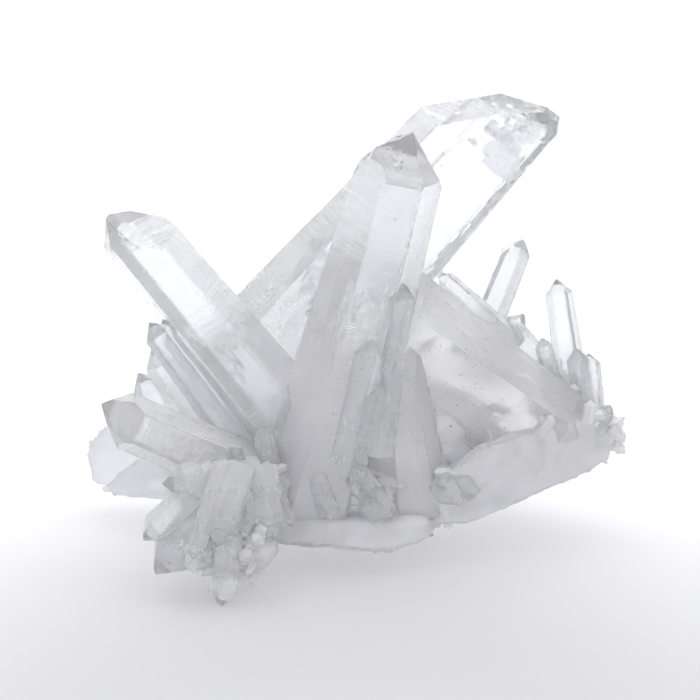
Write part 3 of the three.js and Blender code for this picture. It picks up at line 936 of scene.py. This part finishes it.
def quartz_material(name, colours, haze, rough_milk, rough_glass, least_open):
    """Rock crystal with natural growth faces.

    The haze is the strength of its inner clouds, the two roughnesses are those of milk and of clear
    crystal, and least_open is the share of light that still passes where it is all milk.
    """
    # grown, not cut: glassy faces with fine lines across them, turning to frosted milk towards the root
    material, tree = new_material(name)
    growth = node(tree, "ShaderNodeAttribute", attribute_name="growth").outputs["Vector"]
    clarity = node(tree, "ShaderNodeAttribute", attribute_name="clarity").outputs["Fac"]
    prism = node(tree, "ShaderNodeAttribute", attribute_name="prism").outputs["Fac"]
    stain = node(tree, "ShaderNodeAttribute", attribute_name="stain").outputs["Fac"]
    # clouds drawn out along the axis, and thin veils
    drawn = node(tree, "ShaderNodeVectorMath", {0: growth, 1: CLOUD_STRETCH}, operation="MULTIPLY").outputs[0]
    pattern = {"Vector": drawn, "Scale": CLOUDS_PER_MM, "Detail": 6.0, "Roughness": 0.7}
    clouds = node(tree, "ShaderNodeTexNoise", pattern).outputs["Fac"]
    ends = {"Value": clouds, "From Min": 0.35, "From Max": 0.65, "To Min": -haze, "To Max": haze * 0.6}
    cloud = node(tree, "ShaderNodeMapRange", ends).outputs[0]
    pattern = {"Vector": drawn, "Scale": WISPS_PER_MM, "Detail": 4.0, "Distortion": 0.6}
    wisps = node(tree, "ShaderNodeTexNoise", pattern).outputs["Fac"]
    ridge = node(tree, "ShaderNodeMath", {0: wisps, 1: 0.5}, operation="SUBTRACT").outputs[0]
    ridge = node(tree, "ShaderNodeMath", {0: ridge}, operation="ABSOLUTE").outputs[0]
    ends = {"Value": ridge, "From Min": 0.0, "From Max": 0.018, "To Min": -haze * 0.8, "To Max": 0.0}
    veil = node(tree, "ShaderNodeMapRange", ends).outputs[0]
    cloud = node(tree, "ShaderNodeMath", {0: cloud, 1: veil}, operation="ADD").outputs[0]
    cloud = node(tree, "ShaderNodeMath", {0: cloud, 1: clarity}, operation="MULTIPLY").outputs[0]
    clear = node(tree, "ShaderNodeMath", {0: clarity, 1: cloud}, operation="ADD", use_clamp=True).outputs[0]
    milky = node(tree, "ShaderNodeMath", {0: 1.0, 1: clear}, operation="SUBTRACT").outputs[0]
    # specks of iron oxide and black ore, thick where the stain is
    speck, chance = iron_specks(tree, growth, SPECKS_PER_MM, SPECK_RADII)
    speck = node(tree, "ShaderNodeMath", {0: speck, 1: 0.55}, operation="MULTIPLY").outputs[0]
    # fine milky threads along the axis
    threads = node(tree, "ShaderNodeVectorMath", {0: growth, 1: THREADS_PER_MM}, operation="MULTIPLY").outputs[0]
    threads = node(tree, "ShaderNodeTexNoise", {"Vector": threads, "Scale": 1.0, "Detail": 2.0}).outputs["Fac"]
    ends = {"Value": threads, "From Min": 0.48, "From Max": 0.72, "To Max": 0.5}
    threads = node(tree, "ShaderNodeMapRange", ends).outputs[0]
    streak = node(tree, "ShaderNodeMath", {0: threads, 1: milky}, operation="MULTIPLY").outputs[0]
    # clear or milky glass, then the threads, a thin brownish film, and the specks
    film = node(tree, "ShaderNodeMath", {0: stain, 1: 0.4}, operation="MULTIPLY").outputs[0]
    pair = {0: clear, 6: (*colours.milk, 1), 7: (*colours.clear, 1)}
    tint = node(tree, "ShaderNodeMix", pair, data_type="RGBA").outputs[2]
    pair = {0: streak, 6: tint, 7: linear("#e6e6ea")}
    tint = node(tree, "ShaderNodeMix", pair, data_type="RGBA").outputs[2]
    pair = {0: film, 6: tint, 7: linear("#d8d4ce")}
    tint = node(tree, "ShaderNodeMix", pair, data_type="RGBA").outputs[2]
    pair = {0: chance, 6: linear("#4a4644"), 7: (*colours.rust, 1)}
    ore = node(tree, "ShaderNodeMix", pair, data_type="RGBA").outputs[2]
    colour = node(tree, "ShaderNodeMix", {0: speck, 6: tint, 7: ore}, data_type="RGBA").outputs[2]
    # light passes everywhere but through the specks, least where it is all milk
    unstained = node(tree, "ShaderNodeMath", {0: 1.0, 1: speck}, operation="SUBTRACT").outputs[0]
    ends = {"Value": clear, "To Min": least_open, "To Max": 1.0}
    open_share = node(tree, "ShaderNodeMapRange", ends).outputs[0]
    both = {0: open_share, 1: unstained}
    passing = node(tree, "ShaderNodeMath", both, operation="MULTIPLY", use_clamp=True).outputs[0]
    ends = {"Value": clear, "From Min": 0.25, "From Max": 0.85, "To Min": rough_milk, "To Max": rough_glass}
    gloss = node(tree, "ShaderNodeMapRange", ends, interpolation_type="SMOOTHSTEP").outputs[0]
    # growth lines across the axis and a grain in the milk, too fine for the mesh
    across = node(tree, "ShaderNodeVectorMath", {0: growth, 1: LINES_PER_MM}, operation="MULTIPLY").outputs[0]
    lines = node(tree, "ShaderNodeTexNoise", {"Vector": across, "Scale": 1.0, "Detail": 3.0}).outputs["Fac"]
    lined = node(tree, "ShaderNodeMath", {0: lines, 1: prism}, operation="MULTIPLY").outputs[0]
    pattern = {"Vector": growth, "Scale": GRAIN_PER_MM, "Detail": 1.0}
    grain = node(tree, "ShaderNodeTexNoise", pattern).outputs["Fac"]
    grained = node(tree, "ShaderNodeMath", {0: grain, 1: milky}, operation="MULTIPLY").outputs[0]
    relief = node(tree, "ShaderNodeMath", {0: lined, 1: grained}, operation="ADD").outputs[0]
    shape = {"Height": relief, "Strength": 0.9, "Distance": 0.00015}
    bump = node(tree, "ShaderNodeBump", shape).outputs[0]
    surface = {
        "Base Color": colour,
        "Roughness": gloss,
        "Transmission Weight": passing,
        "Normal": bump,
        "IOR": QUARTZ_IOR,
        "Coat Weight": 0.6,
        "Coat Roughness": 0.05,
        "Subsurface Weight": 0.12,
        "Subsurface Radius": (1.0, 1.0, 1.0),
        "Subsurface Scale": GLOW_DEPTH,
    }
    shader = node(tree, "ShaderNodeBsdfPrincipled", surface)
    node(tree, "ShaderNodeOutputMaterial", {"Surface": shader.outputs[0]})
    return material


def matrix_material(colours):
    """Massive milky quartz, broken."""
    # a fracture surface, neither grown nor cut: sugary and satin, with a little light through thin edges
    material, tree = new_material("massive milky quartz, broken")
    growth = node(tree, "ShaderNodeAttribute", attribute_name="growth").outputs["Vector"]
    clarity = node(tree, "ShaderNodeAttribute", attribute_name="clarity").outputs["Fac"]
    pattern = {"Vector": growth, "Scale": MOTTLE_PER_MM, "Detail": 6.0, "Roughness": 0.65}
    mottle = node(tree, "ShaderNodeTexNoise", pattern).outputs["Fac"]
    tone = node(tree, "ShaderNodeMapRange", {"Value": mottle, "From Min": 0.3, "From Max": 0.7}).outputs[0]
    pair = {0: tone, 6: linear("#f6f6f9"), 7: linear("#fdfdfe")}
    body = node(tree, "ShaderNodeMix", pair, data_type="RGBA").outputs[2]
    speck, _ = iron_specks(tree, growth, MATRIX_SPECKS_PER_MM, MATRIX_SPECK_RADII)
    pair = {0: speck, 6: body, 7: (*colours.rust, 1)}
    colour = node(tree, "ShaderNodeMix", pair, data_type="RGBA").outputs[2]
    ends = {"Value": mottle, "From Min": 0.35, "From Max": 0.65, "To Min": 0.0, "To Max": 0.2}
    cloud = node(tree, "ShaderNodeMapRange", ends).outputs[0]
    passing = node(tree, "ShaderNodeMath", {0: clarity, 1: cloud}, operation="ADD", use_clamp=True).outputs[0]
    pattern = {"Vector": growth, "Scale": SUGAR_PER_MM, "Detail": 1.0}
    grain = node(tree, "ShaderNodeTexNoise", pattern).outputs["Fac"]
    ends = {"Value": grain, "From Min": 0.3, "From Max": 0.7, "To Min": 0.4, "To Max": 0.6}
    gloss = node(tree, "ShaderNodeMapRange", ends).outputs[0]
    bump = node(tree, "ShaderNodeBump", {"Height": grain, "Strength": 0.4, "Distance": 0.00005}).outputs[0]
    surface = {
        "Base Color": colour,
        "Roughness": gloss,
        "Transmission Weight": passing,
        "Normal": bump,
        "IOR": QUARTZ_IOR,
        "Subsurface Weight": 0.12,
        "Subsurface Radius": (1.0, 1.0, 1.0),
        "Subsurface Scale": GLOW_DEPTH,
    }
    shader = node(tree, "ShaderNodeBsdfPrincipled", surface)
    node(tree, "ShaderNodeOutputMaterial", {"Surface": shader.outputs[0]})
    return material


# ---- operators
class Workshop:
    """What the operators share within one run."""

    crystals = None
    move = None
    small_material = None


class QUARTZ_OT_large_crystals(bpy.types.Operator):
    """Grow the tower, the blade, the roof prism and the spears."""

    bl_idname = "quartz.large_crystals"
    bl_label = "Large crystals"

    def execute(self, context):
        Workshop.crystals, Workshop.move = all_crystals()
        look = {"haze": 0.12, "rough_milk": 0.3, "rough_glass": 0.01, "least_open": 0.7}
        material = quartz_material("rock crystal, natural growth faces", context.scene.quartz_colours, **look)
        wanted = {row[0] for row in LARGE_CRYSTALS}
        grow(Workshop.crystals, wanted, material, "clear_quartz", context.scene.quartz_sizes)
        return {"FINISHED"}


class QUARTZ_OT_small_crystals(bpy.types.Operator):
    """Grow the small points round the large ones."""

    bl_idname = "quartz.small_crystals"
    bl_label = "Small crystals"

    def execute(self, context):
        look = {"haze": 0.07, "rough_milk": 0.35, "rough_glass": 0.02, "least_open": 0.35}
        material = quartz_material("rock crystal, cloudy small points", context.scene.quartz_colours, **look)
        Workshop.small_material = material
        wanted = {row[0] for row in SMALL_CRYSTALS}
        grow(Workshop.crystals, wanted, material, "cloudy_quartz", context.scene.quartz_sizes)
        return {"FINISHED"}


class QUARTZ_OT_matrix(bpy.types.Operator):
    """Break the milky matrix out of the rock and cover it with druse."""

    bl_idname = "quartz.matrix"
    bl_label = "Matrix and druse"

    def execute(self, context):
        sizes, colours = context.scene.quartz_sizes, context.scene.quartz_colours
        rock = build_matrix(Workshop.move, matrix_material(colours), sizes)
        build_druse(rock, Workshop.crystals, Workshop.move, Workshop.small_material, sizes)
        return {"FINISHED"}


class QUARTZ_OT_studio(bpy.types.Operator):
    """Set up the pale floor, the soft light and the camera."""

    bl_idname = "quartz.studio"
    bl_label = "Studio"

    def execute(self, context):
        scene = context.scene
        build_floor()
        build_light(scene)
        build_camera(scene)
        scene.view_settings.view_transform = "Standard"
        scene.cycles.max_bounces = 32
        scene.cycles.transmission_bounces = 28
        scene.cycles.diffuse_bounces = 12
        scene.cycles.glossy_bounces = 8
        scene.cycles.blur_glossy = 0.0
        scene.cycles.use_denoising = True
        return {"FINISHED"}


# The studio, in metres.
CARD_RADIUS = 6.0
# Painted shadow: the card's glow is dimmed round a spot just in front of the cluster, and rises again further out,
# standing for the cluster's shadow on the card.
PAINTED_SHADOW_SPOT = (0.0, -0.12, 0.0)  # where the card glows least, just in front of the cluster
PAINTED_SHADOW_REACH, GLOW = (0.04, 0.22), (0.24, 0.66)  # how far from there its glow rises, and between what
ROOM_LIGHT = (0.88, 0.97)  # strength of the white room in front of the object and behind it
PANEL_PLACE, PANEL_AIM = (0.05, 0.35, 0.75), (0, 0, 0.03)
PANEL_SIZE, PANEL_WATTS = (0.9, 0.6), 3.0
CAMERA_AIM = (0.0002, -0.0033, 0.044)
CAMERA_DISTANCE, CAMERA_RISE = 0.650, math.radians(18)


def build_floor():
    """A plain white card with a painted glow, dimmed just in front of the object as a painted shadow."""
    bm = bmesh.new()
    bmesh.ops.create_circle(bm, cap_ends=True, segments=96, radius=CARD_RADIUS)
    floor = from_bmesh("white_card", bm)
    # uncoated card: matt, with a painted glow that stands for the light of a wide white room, dimmed just in front
    # of the cluster as a painted shadow of it
    material, tree = new_material("matt white card, painted glow and shadow")
    place = node(tree, "ShaderNodeTexCoord").outputs["Object"]
    far = node(tree, "ShaderNodeVectorMath", {0: place, 1: PAINTED_SHADOW_SPOT}, operation="DISTANCE").outputs["Value"]
    ends = {"Value": far, "From Min": PAINTED_SHADOW_REACH[0], "From Max": PAINTED_SHADOW_REACH[1], "To Min": GLOW[0], "To Max": GLOW[1]}
    glow = node(tree, "ShaderNodeMapRange", ends, interpolation_type="SMOOTHSTEP").outputs[0]
    surface = {
        "Base Color": linear("#aeaeb0"),
        "Roughness": 0.75,
        "Emission Color": linear("#fbfbff"),
        "Emission Strength": glow,
    }
    shader = node(tree, "ShaderNodeBsdfPrincipled", surface)
    node(tree, "ShaderNodeOutputMaterial", {"Surface": shader.outputs[0]})
    floor.data.materials.append(material)


def build_light(scene):
    """A white room that is brighter behind the object, and one large soft panel above."""
    world = bpy.data.worlds.new("white_room")
    world.use_nodes = True
    tree = world.node_tree
    tree.nodes.clear()
    direction = node(tree, "ShaderNodeTexCoord").outputs["Generated"]
    parts = node(tree, "ShaderNodeSeparateXYZ", {0: direction})
    ends = {"Value": parts.outputs["Y"], "From Min": -0.7, "From Max": 0.5}
    ends |= {"To Min": ROOM_LIGHT[0], "To Max": ROOM_LIGHT[1]}
    back = node(tree, "ShaderNodeMapRange", ends, interpolation_type="SMOOTHSTEP").outputs[0]
    room = node(tree, "ShaderNodeBackground", {"Color": linear("#fcfcff"), "Strength": back})
    seen = node(tree, "ShaderNodeBackground", {"Color": (1, 1, 1, 1), "Strength": 1.0})
    path = node(tree, "ShaderNodeLightPath").outputs["Is Camera Ray"]
    mixed = node(tree, "ShaderNodeMixShader", {0: path, 1: room.outputs[0], 2: seen.outputs[0]})
    node(tree, "ShaderNodeOutputWorld", {"Surface": mixed.outputs[0]})
    scene.world = world
    lamp = bpy.data.lights.new("overhead_panel", "AREA")
    lamp.shape, lamp.energy = "RECTANGLE", PANEL_WATTS
    lamp.size, lamp.size_y = PANEL_SIZE
    panel = in_scene("overhead_panel", lamp)
    panel.location = PANEL_PLACE
    panel.rotation_euler = (Vector(PANEL_AIM) - panel.location).to_track_quat("-Z", "Y").to_euler()


def build_camera(scene):
    """A long lens, looking slightly down on the cluster from the front."""
    camera = in_scene("camera", bpy.data.cameras.new("camera"))
    target = Vector(CAMERA_AIM)
    camera.location = target + CAMERA_DISTANCE * Vector((0, -math.cos(CAMERA_RISE), math.sin(CAMERA_RISE)))
    camera.rotation_euler = (target - camera.location).to_track_quat("-Z", "Y").to_euler()
    camera.data.lens, camera.data.sensor_width = 150, 36
    camera.data.clip_start, camera.data.clip_end = 0.01, 50
    scene.camera = camera


class QUARTZ_PT_cluster(bpy.types.Panel):
    """Lists the cluster's parts and settings."""

    bl_idname = "QUARTZ_PT_cluster"
    bl_label = "Quartz Crystal Cluster"
    bl_space_type = "VIEW_3D"
    bl_region_type = "UI"
    bl_category = "Quartz"

    def draw(self, context):
        for operator in OPERATORS:
            self.layout.operator(operator.bl_idname)
        for group in (context.scene.quartz_sizes, context.scene.quartz_colours):
            box = self.layout.box()
            for name in group.__annotations__:
                box.prop(group, name)


OPERATORS = (QUARTZ_OT_large_crystals, QUARTZ_OT_small_crystals, QUARTZ_OT_matrix, QUARTZ_OT_studio)
CLASSES = (QuartzSizes, QuartzColours, *OPERATORS, QUARTZ_PT_cluster)


def register():
    for one in CLASSES:
        bpy.utils.register_class(one)
    bpy.types.Scene.quartz_sizes = PointerProperty(type=QuartzSizes)
    bpy.types.Scene.quartz_colours = PointerProperty(type=QuartzColours)


def unregister():
    del bpy.types.Scene.quartz_colours
    del bpy.types.Scene.quartz_sizes
    for one in reversed(CLASSES):
        bpy.utils.unregister_class(one)


def main():
    register()
    bpy.ops.quartz.large_crystals()
    bpy.ops.quartz.small_crystals()
    bpy.ops.quartz.matrix()
    bpy.ops.quartz.studio()
    bpy.context.view_layer.update()


if __name__ == "__main__":
    main()
